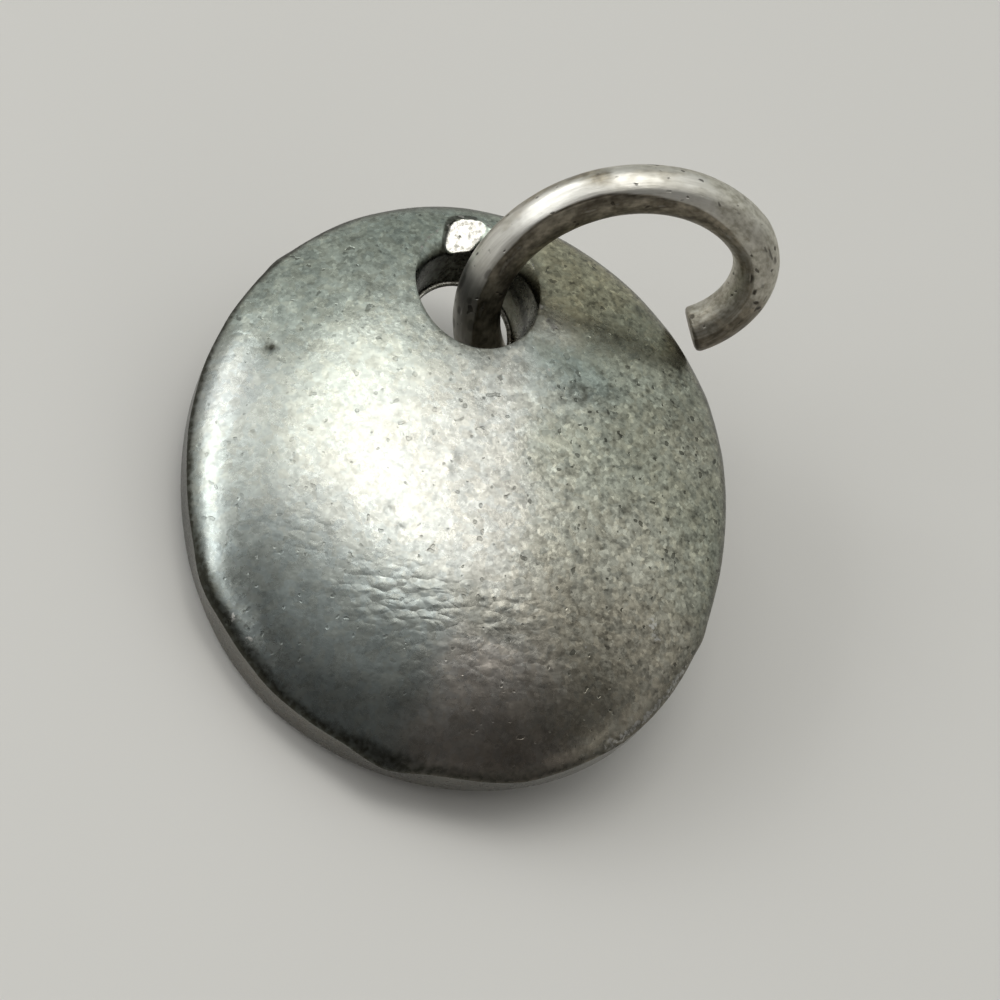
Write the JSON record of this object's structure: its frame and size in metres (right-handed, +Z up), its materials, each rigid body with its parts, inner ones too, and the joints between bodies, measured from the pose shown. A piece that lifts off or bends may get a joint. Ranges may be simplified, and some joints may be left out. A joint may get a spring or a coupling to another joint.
{
  "type": "talisman pendant",
  "caption": "Small domed metal disc pendant with a smooth plain face, a low side wall and a hole near its rim that carries an open jump ring.",
  "frame": {"origin": "middle of the pendant's box, on the surface that it lies on", "axes": "+Y from the disc's far end towards its hole, +Z up off the surface, on the domed side"},
  "size_m": [0.0174, 0.0186, 0.0103],
  "materials": {
    "disc_metal": "cast grey pewter with a worn satin face, fine sand grain and a greenish grey tarnish",
    "ring_metal": "drawn round wire, dull silver grey, with dark grime in its pits"
  },
  "bodies": {
    "root": {"disc": "disc_metal", "jump_ring": "ring_metal"}
  },
  "joints": []
}
